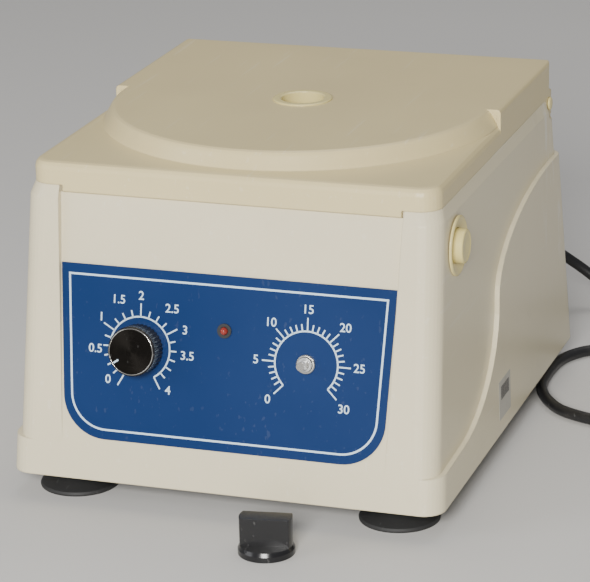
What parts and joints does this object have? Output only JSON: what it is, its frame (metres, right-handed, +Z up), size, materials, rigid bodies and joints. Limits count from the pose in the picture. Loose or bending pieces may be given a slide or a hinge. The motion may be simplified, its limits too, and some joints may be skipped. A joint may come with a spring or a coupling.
{
  "type": "butterfat centrifuge",
  "caption": "Bench centrifuge for butterfat tests: moulded case, hinged lid with a sight port, tilted-tube rotor, sloping control panel and suction feet.",
  "frame": {"origin": "on the bench under the middle of the object's box, with the loose knob and without the mains lead", "axes": "+Z up, +Y from the control panel to the rear, +X to the user's right"},
  "size_m": [0.4513, 0.5211, 0.2301],
  "materials": {
    "case_plastic": "fine satin moulded texture, beige",
    "cream_plastic": "smooth cream, slightly yellowed",
    "window": "clear, yellowed",
    "blue_panel": "satin printed overlay, blue with white marks",
    "zinc_steel": "zinc plated",
    "bright_steel": "turned",
    "spun_aluminium": "spun and satin",
    "motor_case": "grey enamel",
    "black_spun_cap": "black anodised, spun in rings",
    "black_gloss": "glossy black phenolic",
    "black_rubber": "matt black",
    "black_plastic": "matt black",
    "cord_jacket": "satin black jacket",
    "red_lens": "clear red",
    "circuit_board": "green solder mask",
    "nickel_brass": "nickel plated"
  },
  "bodies": {
    "base": {"housing": "case_plastic", "base_plate": "zinc_steel", "base_screws": "zinc_steel", "foot_front_left": "black_rubber", "foot_front_right": "black_rubber", "foot_rear_left": "black_rubber", "foot_rear_right": "black_rubber", "foot_nuts": "zinc_steel", "bowl": "spun_aluminium", "bowl_gasket": "black_rubber", "spindle_boot": "black_rubber", "motor": "motor_case", "motor_plate": "zinc_steel", "vibration_mounts": "black_rubber", "mount_screws": "zinc_steel", "hinge_pins": "cream_plastic", "latch_ring": "cream_plastic", "latch_spring": "zinc_steel", "control_panel": "blue_panel", "speed_control": "zinc_steel", "speed_control_nut": "bright_steel", "timer_body": "zinc_steel", "timer_nut": "bright_steel", "power_lamp": "red_lens", "lamp_holder": "black_plastic", "control_board": "circuit_board", "board_posts": "nickel_brass", "fuse_holder": "black_plastic", "fuse_cap": "black_plastic", "cord_gland": "black_plastic", "mains_cord": "cord_jacket", "cord_coil": "cord_jacket", "mains_plug": "black_plastic"},
    "lid": {"lid_shell": "case_plastic", "lid_liner": "cream_plastic", "lid_screws": "zinc_steel", "lid_striker": "zinc_steel", "port_ring": "cream_plastic", "port_window": "window"},
    "latch": {"latch_button": "cream_plastic", "latch_slide": "zinc_steel"},
    "speed": {"speed_shaft": "bright_steel", "speed_knob": "black_gloss", "speed_knob_cap": "black_spun_cap"},
    "timer": {"timer_shaft": "bright_steel"},
    "rotor": {"spindle": "bright_steel", "rotor_head": "spun_aluminium", "rotor_nut": "zinc_steel", "tube_sleeve_1": "spun_aluminium", "tube_sleeve_2": "spun_aluminium", "tube_sleeve_3": "spun_aluminium", "tube_sleeve_4": "spun_aluminium", "tube_sleeve_5": "spun_aluminium", "tube_sleeve_6": "spun_aluminium"},
    "loose_knob": {"timer_knob": "black_gloss"}
  },
  "joints": [
    {"name": "lid_hinge", "type": "hinge", "parent": "base", "child": "lid", "pos_m": [0, 0.16755, 0.1989], "axis": [-1, 0, 0], "range_deg": [0, 85]},
    {"name": "latch_press", "type": "slide", "parent": "base", "child": "latch", "axis": [-1, 0, 0], "range_m": [0, 0.005], "stiffness_N_per_m": 600, "deforming": ["latch_spring"]},
    {"name": "speed_turn", "type": "hinge", "parent": "base", "child": "speed", "pos_m": [-0.057, -0.13158, 0.104], "axis": [0, 0.9809, -0.1944], "range_deg": [-25, 275]},
    {"name": "timer_turn", "type": "hinge", "parent": "base", "child": "timer", "pos_m": [0.055, -0.13158, 0.104], "axis": [0, 0.9809, -0.1944], "range_deg": [0, 270]},
    {"name": "rotor_spin", "type": "hinge", "parent": "base", "child": "rotor", "pos_m": [0, 0.03375, 0.15], "axis": [0, 0, 1], "continuous": true},
    {"name": "timer_knob_lift", "type": "slide", "parent": "base", "child": "loose_knob", "axis": [0, 0, 1], "range_m": [0, 0.06]}
  ]
}
